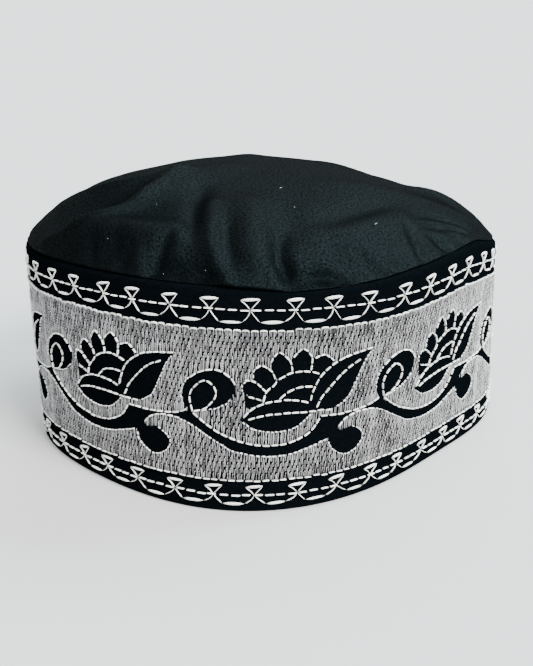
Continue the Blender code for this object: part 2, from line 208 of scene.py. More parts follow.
# Where the soft cap stands out from its even outline: bearing, half width in degrees, and distance in mm.
SWELL_BEARING = 155
SWELL_WIDTH = 18
SWELL = 1.5

# How far the seam lies above its even line, in mm. Where it dips, the crown blouses over the band.
SEAM_SHIFTS = np.array([
    # bearing, shift
    (0, 0), (62, 0), (72, -0.8), (80, -1.5), (90, -0.8), (100, -0.2), (110, 0.7), (130, 0.9), (144, 1.6),
    (156, 0.0), (175, 0), (360, 0),
])


def swell(bearing):
    """How far the wall stands out from its even outline at a bearing, in mm."""
    return SWELL * np.exp(-((np.mod(bearing, 360) - SWELL_BEARING) / SWELL_WIDTH) ** 2)


def seam_shift(bearing):
    """How far the seam lies above its even line at a bearing, in mm."""
    return np.interp(np.mod(bearing, 360), *SEAM_SHIFTS.T)


def outward(bearing):
    """The horizontal direction out of the wall at a bearing."""
    turned = np.mod(bearing, 360)
    return np.stack([np.interp(turned, WALK_BEARINGS, WALK_OUTWARD[:, axis]) for axis in (0, 1)], axis=-1)


def wall_point(along, height, out):
    """A point of the wall in mm, from its place along the wall, nominal height and distance outward."""
    bearing = np.interp(np.mod(along, PERIMETER), WALK_LENGTHS, WALK_BEARINGS)
    share = height / BAND_HEIGHT
    rim = round_the_cap(RIM_RADIUS, bearing)
    radius = rim + (round_the_cap(SEAM_RADIUS, bearing) - rim) * share
    reach_out = np.asarray(out) + swell(bearing)
    flat = plan_point(radius, bearing) + outward(bearing) * reach_out[..., None] - CENTRE
    z = round_the_cap(SEAM_HEIGHT, bearing) * share
    return np.concatenate([flat, z[..., None]], axis=-1)


def ramp(value, start, end):
    """0 up to start and 1 from end, with a straight line between."""
    return np.clip((value - start) / (end - start), 0, 1)


def smooth_line(points, closed=False, step=0.5):
    """A smooth curve through chart points, read about every step mm."""
    points = np.array(points, dtype=float)
    if closed:
        padded = np.concatenate([points[-1:], points, points[:2]])
    else:
        padded = np.concatenate([points[:1], points, points[-1:]])
    line = []
    for before, start, end, after in zip(padded, padded[1:], padded[2:], padded[3:]):
        count = max(1, int(np.linalg.norm(end - start) / step))
        t = (np.arange(count) / count)[:, None]
        line.append(
            start
            + t * (end - before) / 2
            + t ** 2 * (before - 2.5 * start + 2 * end - after / 2)
            + t ** 3 * (1.5 * start - before / 2 - 1.5 * end + after / 2)
        )
    if not closed:
        line.append(points[-1:])
    return np.concatenate(line)


def is_open(along, height):
    """Whether places of the chart lie in one of the black shapes."""
    found = np.zeros(np.shape(along), dtype=bool)
    for shape in OPEN_SHAPES.values():
        outline = smooth_line(shape, closed=True)
        x0, y0 = outline.T
        inside = np.zeros(np.shape(along), dtype=bool)
        for x_a, y_a, x_b, y_b in zip(x0, y0, np.roll(x0, -1), np.roll(y0, -1)):
            if y_a == y_b:
                continue
            crosses = (y_a > height) != (y_b > height)
            meets = x_a + (height - y_a) * (x_b - x_a) / (y_b - y_a)
            inside ^= crosses & (meets > along)
        found |= inside
    return found


def repeat_start(repeat):
    """Where a repeat of the embroidery starts along the wall, in mm."""
    return FIRST_REPEAT + repeat * PERIMETER / REPEATS


def make_piece(name, points, faces, material, uv, shade=None):
    """One smooth piece of the cap, from points in mm and a list of faces, that rides with the cap."""
    mesh = bpy.data.meshes.new(name)
    mesh.from_pydata((points * MM).tolist(), [], faces)
    mesh.shade_smooth()
    corners = np.empty(len(mesh.loops), dtype=np.int32)
    mesh.loops.foreach_get("vertex_index", corners)
    layer = mesh.uv_layers.new(name="cloth")
    layer.data.foreach_set("uv", uv[corners].astype(np.float32).ravel())
    if shade is not None:
        values = mesh.attributes.new("shade", "FLOAT", "POINT")
        values.data.foreach_set("value", shade.astype(np.float32))
    mesh.materials.append(material)
    piece = bpy.data.objects.new(name, mesh)
    bpy.context.scene.collection.objects.link(piece)
    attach(piece, "root")
    return piece


def ring_faces(rows, columns):
    """Quads between each row and the next of a closed ring of rows, each row a closed loop of columns."""
    row, column = np.meshgrid(np.arange(rows), np.arange(columns), indexing="ij")
    right = (column + 1) % columns
    above = (row + 1) % rows
    return np.stack([
        row * columns + column, row * columns + right, above * columns + right, above * columns + column,
    ], axis=-1).reshape(-1, 4)


def add_node(material, kind, inputs=None, **settings):
    """A shader node with its settings and the values or links of its inputs."""
    node = material.node_tree.nodes.new(kind)
    for name, value in settings.items():
        setattr(node, name, value)
    for name, value in (inputs or {}).items():
        socket = node.inputs[name]
        if isinstance(value, bpy.types.NodeSocket):
            material.node_tree.links.new(value, socket)
        else:
            socket.default_value = value
    return node


def maths(material, operation, *values):
    """The result of one step of arithmetic on numbers or sockets."""
    return add_node(material, "ShaderNodeMath", dict(enumerate(values)), operation=operation).outputs[0]


def noise(material, coordinates, scale, detail):
    """Cloudy noise from 0 to 1. A scale of 1 has clouds about 1 mm across."""
    inputs = {"Vector": coordinates, "Scale": scale, "Detail": detail}
    return add_node(material, "ShaderNodeTexNoise", inputs).outputs["Fac"]


def cloth_place(material):
    """The place on the cloth, or along and round the thread."""
    return add_node(material, "ShaderNodeUVMap", uv_map="cloth").outputs["UV"]


def connect(material, output, shader, name):
    """Links an output to an input of the shader."""
    material.node_tree.links.new(output, shader.inputs[name])


def new_material(name, roughness, specular, tint=(1, 1, 1)):
    """A material whose steady values stand on its own shader."""
    material = bpy.data.materials.new(name)
    material.use_nodes = True
    shader = material.node_tree.nodes["Principled BSDF"]
    shader.inputs["Roughness"].default_value = roughness
    shader.inputs["Specular IOR Level"].default_value = specular
    shader.inputs["Specular Tint"].default_value = (*tint, 1)
    return material, shader


# The period of a wave texture whose scale is 1, in the units of its coordinates.
WAVE_PERIOD = 2 * np.pi / 20


def bands(material, coordinates, period, distortion, direction, detail=2.0):
    """Wavy bands from 0 to 1 that repeat every period, in mm."""
    inputs = {
        "Vector": coordinates, "Scale": WAVE_PERIOD / period, "Distortion": distortion, "Detail": detail,
    }
    node = add_node(material, "ShaderNodeTexWave", inputs, wave_type="BANDS", bands_direction=direction)
    return node.outputs["Fac"]


def weave_height(material, coordinates, period, distortion):
    """The height of a plain weave: warp and weft threads that pass over each other."""
    warp, weft = (bands(material, coordinates, period, distortion, way, detail=1.0) for way in ("X", "Y"))
    return maths(material, "MULTIPLY", warp, weft)


def colour_ramp(material, factor, dark, light, start=0.0, end=1.0):
    """A colour that goes from dark to light as a factor goes from start to end."""
    node = add_node(material, "ShaderNodeValToRGB", {"Fac": factor})
    for element, position, colour in zip(node.color_ramp.elements, (start, end), (dark, light)):
        element.position = position
        element.color = (*colour, 1)
    return node.outputs["Color"]


# The depth of the finest relief of cloth and thread, in metres.
RELIEF = 0.00015


def add_relief(material, shader, height, strength):
    """Fine relief from a height from 0 to 1."""
    inputs = {"Strength": strength, "Distance": RELIEF, "Height": height}
    connect(material, add_node(material, "ShaderNodeBump", inputs).outputs["Normal"], shader, "Normal")


# The crown's black: the colours of its worn patches, how much the patches count beside the grain, and the
# gloss, which rises with the grain and fades where the cloth turns away.
SATEEN_DARK = (0.0006, 0.0009, 0.0010)
SATEEN_LIGHT = (0.0013, 0.0019, 0.0021)
SATEEN_TINT = (0.42, 0.70, 0.80)
PATCH_SHARE = 0.65
GLOSS_BY_GRAIN = 0.27
GLOSS_CUT = -0.088
GLOSS_FADE = 1.2


def sateen_material():
    """Black cotton sateen: a close weave with a low cool gloss and faint worn patches."""
    material, shader = new_material("black_sateen", roughness=0.42, specular=0.015, tint=SATEEN_TINT)
    cloth = cloth_place(material)
    patches = noise(material, cloth, scale=0.05, detail=5.0)
    grain = noise(material, cloth, scale=1.1, detail=4.0)
    grain_share = maths(material, "MULTIPLY", grain, 1 - PATCH_SHARE)
    mixed = maths(material, "MULTIPLY_ADD", patches, PATCH_SHARE, grain_share)
    colour = colour_ramp(material, mixed, SATEEN_DARK, SATEEN_LIGHT, start=0.3, end=0.7)
    connect(material, colour, shader, "Base Color")
    facing = add_node(material, "ShaderNodeLayerWeight", {"Blend": 0.5}).outputs["Facing"]
    faded = maths(material, "POWER", maths(material, "SUBTRACT", 1.0, facing), GLOSS_FADE)
    uneven = maths(material, "MULTIPLY_ADD", grain, GLOSS_BY_GRAIN, GLOSS_CUT)
    connect(material, maths(material, "MULTIPLY", faded, uneven), shader, "Specular IOR Level")
    weave = weave_height(material, cloth, period=0.42, distortion=0.6)
    add_relief(material, shader, maths(material, "ADD", weave, grain), strength=0.6)
    return material


COTTON_DARK = (0.0008, 0.0013, 0.0018)
COTTON_LIGHT = (0.0017, 0.0026, 0.0034)


def cotton_material():
    """Matte black cotton over the band's stiffener."""
    material, shader = new_material("black_cotton", roughness=0.8, specular=0.0)
    cloth = cloth_place(material)
    grain = noise(material, cloth, scale=0.9, detail=4.0)
    colour = colour_ramp(material, grain, COTTON_DARK, COTTON_LIGHT, start=0.3, end=0.75)
    connect(material, colour, shader, "Base Color")
    weave = weave_height(material, cloth, period=0.5, distortion=0.4)
    add_relief(material, shader, maths(material, "ADD", weave, grain), strength=0.5)
    return material


def thread_material(name, dark, light, sheen, twist):
    """Embroidery thread: its shade changes from stitch to stitch, and its plies twist round it."""
    material, shader = new_material(name, roughness=0.5, specular=0.4)
    shader.inputs["Sheen Weight"].default_value = sheen
    shader.inputs["Sheen Roughness"].default_value = 0.35
    shader.inputs["Sheen Tint"].default_value = (1, 1, 1, 1)
    shade = add_node(material, "ShaderNodeAttribute", attribute_name="shade").outputs["Fac"]
    connect(material, colour_ramp(material, shade, dark, light), shader, "Base Color")
    plies = bands(material, cloth_place(material), twist, 0.8, "DIAGONAL")
    add_relief(material, shader, plies, strength=0.7)
    return material


SATEEN = sateen_material()
COTTON = cotton_material()
GREY_THREAD = thread_material("grey_thread", (0.05, 0.046, 0.050), (0.42, 0.415, 0.42), sheen=0.05, twist=0.5)
WHITE_THREAD = thread_material("white_thread", (0.42, 0.43, 0.40), (0.88, 0.89, 0.85), sheen=0.1, twist=0.8)


# Cross sections of a thread, from its right foot over its top to its left foot: sideways and up, as shares.
FLAT_SECTION = np.array([(0.5, 0.0), (0.0, 1.0), (-0.5, 0.0)])
ROUND_SECTION = np.array([
    (0.36, 0.0), (0.5, 0.5), (0.26, 0.96), (-0.26, 0.96), (-0.5, 0.5), (-0.36, 0.0),
])

# A thread's pointed ends lie at this share of the height of its top.
TIP_RISE = 0.35

# Added to a step's length, so that a stitch of no length still has a direction.
LEAST_STEP = 1e-9


def thread_faces(ring_count, sides):
    """The triangles of one thread: between its rings, and from its end rings to its two tips."""
    faces = []
    for ring in range(ring_count - 1):
        for side in range(sides):
            low = ring * sides + side
            right = ring * sides + (side + 1) % sides
            faces += [(low, right, right + sides), (low, right + sides, low + sides)]
    first_tip = ring_count * sides
    last = first_tip - sides
    for side in range(sides):
        right = (side + 1) % sides
        faces += [(right, side, first_tip), (last + side, last + right, first_tip + 1)]
    return np.array(faces)[:, ::-1]


def thread_mesh(lines, widths, crests, section):
    """Stitches as closed threads on the cloth, all with the same count of stations along them.

    lines is (stitch, station, 2) in the chart, and widths and crests give each station's width and the
    height of its top. The first and last stations are the pointed ends.
    """
    count, stations = lines.shape[:2]
    sides = len(section)
    tangents = np.gradient(lines, axis=1)
    tangents /= np.linalg.norm(tangents, axis=-1, keepdims=True) + LEAST_STEP
    across = np.stack([tangents[..., 1], -tangents[..., 0]], axis=-1)
    sideways, up = section.T
    place = lines[:, 1:-1, None] + across[:, 1:-1, None] * (widths[:, 1:-1, None] * sideways)[..., None]
    out = CLOTH_OUT + (crests[:, 1:-1, None] - CLOTH_OUT) * up
    rings = wall_point(place[..., 0], place[..., 1], out).reshape(count, -1, 3)
    ends = lines[:, [0, -1]]
    tip_out = CLOTH_OUT + (crests[:, [0, -1]] - CLOTH_OUT) * TIP_RISE
    tips = wall_point(ends[..., 0], ends[..., 1], tip_out)
    points = np.concatenate([rings, tips], axis=1)
    each = points.shape[1]
    ring_count = stations - 2
    faces = thread_faces(ring_count, sides) + each * np.arange(count)[:, None, None]
    steps = np.linalg.norm(np.diff(lines, axis=1), axis=-1)
    lengths = np.concatenate([np.zeros((count, 1)), np.cumsum(steps, axis=1)], axis=1)
    ring_u = np.repeat(lengths[:, 1:-1], sides, axis=1)
    ring_v = np.tile(np.arange(sides) / sides, (count, ring_count))
    tip_uv = np.stack([lengths[:, [0, -1]], np.full((count, 2), 0.5)], axis=-1)
    uv = np.concatenate([np.stack([ring_u, ring_v], axis=-1), tip_uv], axis=1)
    return points.reshape(-1, 3), faces.reshape(-1, 3), uv.reshape(-1, 2), each


def make_threads(name, lines, widths, crests, section, shades, material):
    """A piece made of many stitches. The arrays hold one row for each stitch, over its stations."""
    shape = lines.shape[:2]
    points, faces, uv, each = thread_mesh(
        lines, np.broadcast_to(widths, shape), np.broadcast_to(crests, shape), section,
    )
    return make_piece(name, points, faces.tolist(), material, uv, np.repeat(shades, each))


def shades_for(count, middle, deviation, rng):
    """A shade from 0, dark, to 1, light, for each stitch."""
    return np.clip(rng.normal(middle, deviation, count), 0, 1)


def make_white_threads(name, lines, widths, crests, shade, deviation, rng):
    """A piece made of round white stitches, whose shades vary about one shade."""
    shades = shades_for(len(lines), shade, deviation, rng)
    make_threads(name, lines, widths, crests, ROUND_SECTION, shades, WHITE_THREAD)


# The grey fill: upright threads in pairs, in mm. A pair shares its needle holes, and every other pair is half
# a stitch off.
PAIRS = 84
PAIR_PITCH = CHART_WIDTH / PAIRS
PAIR_WANDER = 0.05
THREAD_APART = 0.4
THREAD_WIDTH = 0.37
THREAD_WIDTH_SPREAD = (0.7, 1.1)
CREST_WANDER = 0.06
STITCH_LENGTH = 4.1
STITCH_LEAN = 0.2
LEAN_WANDER = 0.05
SHORTEST_STITCH = 0.9
SHORTEST_THREAD = 0.4
END_STITCH = 2.0
END_WANDER = 0.08
CHART_STEP = 0.1
CHART_SCALE = PERIMETER / REPEATS / CHART_WIDTH

# A needle hole, and the share of it that a thread leaves open below its start and above its end.
HOLE_LENGTH = 0.6
HOLE_BELOW = (0.6, 1.2)
HOLE_ABOVE = (0.2, 0.7)

# At the edge of a black shape the threads are drawn aside, so that slits open between some pairs. Under the
# notches between the arches along the top they are drawn aside too.
EDGE_PULL = 0.42
PULL_REACH = 3.0
SLIT_SHARE = 0.5
SLIT_STRENGTH = (0.6, 1.2)
CLOSED_STRENGTH = 0.1
ARCHES = 24
ARCH_PITCH = CHART_WIDTH / ARCHES
NOTCH_REACH = 0.45
NOTCH_PULL = 0.3
EDGE_MARGIN = 1.0

# Where two repeats meet, the threads lap over each other in a raised strip, in mm.
LAP_WIDTH = 2.4
LAP_LIFT = 0.12

# The fill's shade from 0 to 1, its deviation, and what the lap and the edge of a black shape add to it.
FILL_SHADE = 0.48
FILL_SHADE_SPREAD = 0.34
LAP_SHADE = 0.4
MOTIF_SHADE = 0.2

# The stations of a fill thread: its share of the length, of the height of its top and of its width.
FILL_STATIONS = np.array([
    # share, crest, width
    (0.0, 0.5, 0.4),
    (0.07, 0.72, 0.86),
    (0.5, 1.0, 1.0),
    (0.93, 0.72, 0.86),
    (1.0, 0.5, 0.4),
])
FILL_SHARES, FILL_CRESTS, FILL_WIDTHS = FILL_STATIONS.T

# The middle of the vine, which parts the fill above it from the fill below it.
VINE_MIDDLE = np.array([
    # along, height
    (0, 33.7), (9, 31.4), (20, 25.1), (33, 23), (46, 25), (52, 29.5), (60, 31.5), (72.3, 33.7),
])


def fill_runs():
    """The stretches of one repeat that grey threads cover: place along, pair, side of the pair, low, high."""
    pair, side = np.meshgrid(np.arange(PAIRS), (-1, 1), indexing="ij")
    pair, side = pair.ravel(), side.ravel()
    along = (pair + 0.5) * PAIR_PITCH + side * THREAD_APART / 2
    heights = np.arange(FIELD_BOTTOM, FIELD_TOP + CHART_STEP / 2, CHART_STEP)
    grid_along, grid_height = np.meshgrid(along, heights, indexing="ij")
    covered = ~is_open(grid_along, grid_height)
    runs = []
    for thread, row in enumerate(covered):
        edges = np.flatnonzero(np.diff(np.concatenate([[0], row.astype(int), [0]])))
        for start, end in zip(edges[::2], edges[1::2]):
            low, high = heights[start], heights[end - 1]
            if high - low > SHORTEST_STITCH / 2:
                runs.append((along[thread], pair[thread], side[thread], low, high))
    return runs


def fill_stitches():
    """The fill stitches of one repeat, a row for each.

    A row has its place along, its pair, its side of the pair, its low and high ends, whether it is above the
    vine, and whether it is the lowest and the highest stitch of its run.
    """
    rows = []
    for along, pair, side, low, high in fill_runs():
        phase = (pair % 2) * STITCH_LENGTH / 2
        cuts = np.arange(FIELD_BOTTOM + phase, FIELD_TOP, STITCH_LENGTH)
        cuts = cuts[(cuts > low + END_STITCH) & (cuts < high - END_STITCH)]
        stops = np.concatenate([[low], cuts, [high]])
        above = (low + high) / 2 > np.interp(along, *VINE_MIDDLE.T)
        for step, (start, end) in enumerate(zip(stops, stops[1:])):
            at_low, at_high = step == 0, step == len(stops) - 2
            rows.append((along, pair, side, start, end, above, at_low, at_high))
    return np.array(rows, dtype=float)


def edge_pulls(along, side, length, slit, at_low, at_high, at_field_top):
    """How far each station of each fill thread is drawn aside at the ends of its run, in mm."""
    from_notch = np.mod(along + ARCH_PITCH / 2, ARCH_PITCH) - ARCH_PITCH / 2
    notch = -at_field_top * (np.abs(from_notch) < NOTCH_REACH) * np.sign(from_notch)
    low_pull = at_low * slit * side * EDGE_PULL
    high_pull = at_high * slit * side * EDGE_PULL * (1 - at_field_top) + notch * NOTCH_PULL
    fade_up = np.clip(1 - FILL_SHARES * length[:, None] / PULL_REACH, 0, 1)
    fade_down = np.clip(1 - (1 - FILL_SHARES) * length[:, None] / PULL_REACH, 0, 1)
    return low_pull[:, None] * fade_up + high_pull[:, None] * fade_down


def build_fill(rng):
    """The grey stitches round the vine."""
    chart = fill_stitches()
    repeats = np.repeat(np.arange(REPEATS), len(chart))
    along, pair, side, low, high, above, at_low, at_high = np.tile(chart, (REPEATS, 1)).T
    count = len(along)
    pair_number = (repeats * PAIRS + pair).astype(int)
    in_lap = (along < LAP_WIDTH).astype(float)
    wander = rng.normal(0, PAIR_WANDER, REPEATS * PAIRS)[pair_number]
    is_slit = rng.random(REPEATS * PAIRS + 1) < SLIT_SHARE
    strength = np.where(is_slit, rng.uniform(*SLIT_STRENGTH, len(is_slit)), CLOSED_STRENGTH)
    slit = strength[pair_number + (side > 0)] * (1 - in_lap)
    low_hole = HOLE_LENGTH * (1 - at_low) * rng.uniform(*HOLE_BELOW, count)
    high_hole = HOLE_LENGTH * (1 - at_high) * rng.uniform(*HOLE_ABOVE, count)
    low = low + low_hole + rng.normal(0, END_WANDER, count)
    high = np.maximum(high - high_hole + rng.normal(0, END_WANDER, count), low + SHORTEST_THREAD)
    length = high - low
    heights = low[:, None] + FILL_SHARES * length[:, None]
    at_field_top = at_high * (high > FIELD_TOP - EDGE_MARGIN)
    pull = edge_pulls(along, side, length, slit, at_low, at_high, at_field_top)
    even_lean = STITCH_LEAN / 2 * np.array([-1, 1]) * (length / STITCH_LENGTH)[:, None]
    lean = rng.normal(0, LEAN_WANDER, (count, 2)) + even_lean
    alongs = (along + wander)[:, None] - pull + lean[:, :1] * (1 - FILL_SHARES) + lean[:, 1:] * FILL_SHARES
    lines = np.stack([alongs * CHART_SCALE + repeat_start(repeats)[:, None], heights], axis=-1)
    tops = FILL_CREST + LAP_LIFT * in_lap + rng.normal(0, CREST_WANDER, count)
    crests = CLOTH_OUT + (tops - CLOTH_OUT)[:, None] * FILL_CRESTS
    widths = (THREAD_WIDTH * rng.uniform(*THREAD_WIDTH_SPREAD, count))[:, None] * FILL_WIDTHS
    at_motif = np.maximum(at_low * (low > FIELD_BOTTOM + EDGE_MARGIN), at_high * (1 - at_field_top))
    shades = shades_for(count, FILL_SHADE, FILL_SHADE_SPREAD, rng)
    shades = np.clip(shades + LAP_SHADE * in_lap + MOTIF_SHADE * at_motif, 0, 1)
    for name, chosen in (("fill_above_vine", above > 0.5), ("fill_below_vine", above < 0.5)):
        piece = make_threads(
            name, lines[chosen], widths[chosen], crests[chosen], FLAT_SECTION, shades[chosen],
            GREY_THREAD,
        )
        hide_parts(name.replace("fill", "embroidery"))
    # Painted highlights: a short turn of thread in the white thread's colour beside each thread end at a
    # needle hole.
    turned = (at_high < 0.5) & (side > 0)
    build_turn_highlights(lines[turned, -1], rng)


# A turn of grey thread at each needle hole, in mm, drawn in the white thread's lighter colour as a painted
# highlight: it starts left of the thread's end and runs across and up.
TURN_LEFT = 0.3 * THREAD_APART
TURN_ACROSS = 0.7 * THREAD_APART
TURN_RISE = 1.1 * HOLE_LENGTH
TURN_WIDTH = 0.34
TURN_LIFT = 0.1
TURN_WANDER = 0.04
TURN_HIGHLIGHT_SHADE = 0.35
TURN_HIGHLIGHT_SHADE_SPREAD = 0.3


def build_turn_highlights(ends, rng):
    """A small turn of thread at each needle hole, beside the end of the thread below it, drawn in the white
    thread's colour as a painted highlight.
    """
    start = ends - np.array([TURN_LEFT, 0.0])
    end = start + np.array([TURN_ACROSS, TURN_RISE])
    turns = np.stack([start, (start + end) / 2, end], axis=1) + rng.normal(0, TURN_WANDER, (len(start), 1, 2))
    make_threads(
        "turn_highlights", turns, TURN_WIDTH, FILL_CREST + TURN_LIFT, FLAT_SECTION,
        shades_for(len(turns), TURN_HIGHLIGHT_SHADE, TURN_HIGHLIGHT_SHADE_SPREAD, rng), WHITE_THREAD,
    )


# The stations of a dash: its share of the length and of the width.
DASH_STATIONS = np.array([
    # share, width
    (0.0, 0.2), (0.08, 0.76), (0.3, 1.0), (0.7, 1.0), (0.92, 0.76), (1.0, 0.2),
])
DASH_SHARES, DASH_PROFILE = DASH_STATIONS.T

# How far the ends of dashes wander, as a share of the gap between them, and how their width varies.
DASH_WANDER = 0.2
DASH_WIDTH_SPREAD = (0.86, 1.1)


def line_lengths(line):
    """How far each point of a line lies from its start."""
    return np.concatenate([[0], np.cumsum(np.linalg.norm(np.diff(line, axis=0), axis=1))])


def read_line(line, marks):
    """The points of a line at given lengths from its start."""
    lengths = line_lengths(line)
    marks = np.clip(marks, 0, lengths[-1])
    return np.stack([np.interp(marks, lengths, line[:, axis]) for axis in (0, 1)], axis=-1)


def level_line(height):
    """A line all round the cap at one height."""
    return np.array([(0, height), (PERIMETER, height)])


def dashes(line, dash, gap, rng):
    """A run of stitches along a chart line, each as a row of stations."""
    length = line_lengths(line)[-1]
    count = max(1, int(round(length / (dash + gap))))
    pitch = length / count
    starts = (np.arange(count) * pitch + gap / 2 + rng.normal(0, gap * DASH_WANDER, count))[:, None]
    reach = (pitch - gap + rng.normal(0, gap * DASH_WANDER, count))[:, None]
    return read_line(line, starts + DASH_SHARES * reach)


def dash_widths(count, width, rng):
    """The width of each dash over its stations: blunt ends and a full middle."""
    return width * DASH_PROFILE * rng.uniform(*DASH_WIDTH_SPREAD, count)[:, None]


# How unevenly the outlines lie, in mm, and the shades of the white stitches.
OUTLINE_WANDER = 0.06
OUTLINE_CREST_WANDER = 0.03
OUTLINE_SHADE = 0.6
EDGE_SHADE = 0.5
WHITE_SHADE_SPREAD = 0.25


def build_outlines(rng):
    """The white outlines of every repeat."""
    lines, widths, crests = [], [], []
    for repeat in range(REPEATS):
        for weight, points in OUTLINES:
            dash, gap, width, crest = LINE_WEIGHTS[weight]
            row = dashes(smooth_line(points), dash, gap, rng)
            row = row + rng.normal(0, OUTLINE_WANDER, (len(row), 1, 2))
            row[..., 0] = repeat_start(repeat) + row[..., 0] * CHART_SCALE
            lines.append(row)
            widths.append(dash_widths(len(row), width, rng))
            crests.append(np.full(row.shape[:2], crest) + rng.normal(0, OUTLINE_CREST_WANDER, (len(row), 1)))
    joined = (np.concatenate(group) for group in (lines, widths, crests))
    make_white_threads("outline_stitches", *joined, OUTLINE_SHADE, WHITE_SHADE_SPREAD, rng)


# The small arches along the top of the field, in mm. A station's side goes from 0, left, to 1, right.
ARCH_STATIONS = np.array([
    # side, inset, rise, width_share
    (0.0, 0.0, -1.2, 0.3),
    (0.0, 0.0, -0.18, 0.7),
    (0.0, 0.18, 0.0, 1.0),
    (0.5, 0.0, 0.06, 1.3),
    (1.0, -0.18, 0.0, 1.0),
    (1.0, 0.0, -0.18, 0.7),
    (1.0, 0.0, -1.2, 0.3),
])
ARCH_SIDES, ARCH_INSETS, ARCH_RISES, ARCH_PROFILE = ARCH_STATIONS.T
ARCH_WIDTH = 0.42
ARCH_WIDTH_SPREAD = (0.8, 1.15)
ARCH_CREST = 0.36
NOTCH_HALF = 0.36
LEFT_WANDER = 0.06
RIGHT_WANDER = 0.08
TOP_WANDER = 0.16


def build_field_top(rng):
    """The small white arches that close the embroidered field along its top."""
    arches = REPEATS * ARCHES
    pitch = PERIMETER / arches
    starts = FIRST_REPEAT + np.arange(arches) * pitch + NOTCH_HALF
    left = (starts + rng.normal(0, LEFT_WANDER, arches))[:, None]
    right = left + pitch - 2 * NOTCH_HALF + rng.normal(0, RIGHT_WANDER, (arches, 1))
    top = FIELD_TOP + rng.normal(0, TOP_WANDER, (arches, 1))
    along = left + (right - left) * ARCH_SIDES + ARCH_INSETS
    lines = np.stack([along, top + ARCH_RISES], axis=-1)
    widths = ARCH_WIDTH * ARCH_PROFILE * rng.uniform(*ARCH_WIDTH_SPREAD, (arches, 1))
    make_white_threads(
        "field_top_stitches", lines, widths, ARCH_CREST, EDGE_SHADE, WHITE_SHADE_SPREAD, rng,
    )


# The dashes along the foot of the field, in mm.
FOOT_DASH = 2.55
FOOT_GAP = 0.5
FOOT_DROP = 0.1
FOOT_WIDTH = 0.48
FOOT_CREST = 0.3
FOOT_WANDER = 0.1
FOOT_TILT = 0.12


def build_field_foot(rng):
    """The white dashes that close the embroidered field along its foot."""
    rows = dashes(level_line(FIELD_BOTTOM - FOOT_DROP), FOOT_DASH, FOOT_GAP, rng)
    shifts = rng.normal(0, FOOT_WANDER, (len(rows), 1))
    tilts = rng.normal(0, FOOT_TILT, (len(rows), 1)) * (DASH_SHARES - 0.5)
    rows[..., 1] += shifts + tilts
    widths = dash_widths(len(rows), FOOT_WIDTH, rng)
    make_white_threads(
        "field_foot_stitches", rows, widths, FOOT_CREST, EDGE_SHADE, WHITE_SHADE_SPREAD, rng,
    )


# The two stitched borders: a dashed line, with a bar above each crossing and a bar below between crossings.
BORDERS = [
    # name, line_height, top_bar_height, low_bar_height, crossings, first_crossing
    ("upper_border_stitches", 72.9, 76.5, 68.7, 40, 3.4),
    ("lower_border_stitches", 6.4, 9.65, 3.05, 38, -1.8),
]
BORDER_DASH = 3.3
BORDER_GAP = 0.8
BORDER_DASH_WIDTH = 0.48
BORDER_DASH_CREST = 0.4
BORDER_WANDER = 0.1
CROSSING_WANDER = 0.55
BORDER_SHADE = 0.7
BORDER_SHADE_SPREAD = 0.2

# The bars, in mm. A tilt has an average and a deviation: a slope for the top bar, a rise for the low bar.
TOP_BAR = 6.4
TOP_BAR_TILT = (0.06, 0.05)
LOW_BAR = 7.6
LOW_BAR_TILT = (0.1, 0.15)
LOW_BAR_WANDER = 0.3
LOW_BAR_DROP_WANDER = 0.15
BAR_LENGTH_SPREAD = (0.92, 1.08)
BAR_WIDTH = 1.05
BAR_WIDTH_SPREAD = (0.85, 1.1)
BAR_PROFILE = np.array([0.3, 0.7, 1.0, 1.0, 0.75, 0.3])

# The thin threads that tie the bars to a crossing. A bend is a share of the way out to the bar's end.
TIE_WIDTH = 0.25
TIE_WIDTH_SPREAD = (0.85, 1.15)
TIE_CREST = 0.2
TOP_LEFT_BEND = 0.42
TOP_RIGHT_BEND = 0.5
LOW_LEFT_BEND = 0.45
LOW_RIGHT_BEND = 0.3
TOP_LEFT_LIFT = 0.1
TOP_RIGHT_LIFT = 0.2


def spread(points):
    """A line of chart points read at evenly spaced stations."""
    line = smooth_line(points, step=0.3)
    return read_line(line, np.linspace(0, line_lengths(line)[-1], len(DASH_STATIONS)))


def border_motif(here, after, line_height, top_height, low_height, rng):
    """The ties and the two bars between one crossing and the next, as lines of chart points."""
    tilt = rng.normal(*TOP_BAR_TILT)
    half = TOP_BAR / 2 * rng.uniform(*BAR_LENGTH_SPREAD)
    left = (here - half, top_height - tilt * half)
    right = (here + half, top_height + tilt * half)
    middle = (here + after) / 2 + rng.normal(0, LOW_BAR_WANDER)
    low_half = LOW_BAR / 2 * rng.uniform(*BAR_LENGTH_SPREAD)
    drop = low_height + rng.normal(0, LOW_BAR_DROP_WANDER)
    low_left = (middle - low_half, drop)
    low_right = (middle + low_half, drop + rng.normal(*LOW_BAR_TILT))
    waist = (top_height + line_height) / 2
    knee = (line_height + low_height) / 2
    crossing, next_crossing = (here, line_height), (after, line_height)
    ties = [
        [left, (here - half * TOP_LEFT_BEND, waist + TOP_LEFT_LIFT), crossing],
        [right, (here + half * TOP_RIGHT_BEND, waist + TOP_RIGHT_LIFT), crossing],
        [crossing, (here + (low_left[0] - here) * LOW_LEFT_BEND, knee), low_left],
        [next_crossing, (after - (after - low_right[0]) * LOW_RIGHT_BEND, knee), low_right],
    ]
    return ties, [[left, right], [low_left, low_right]]


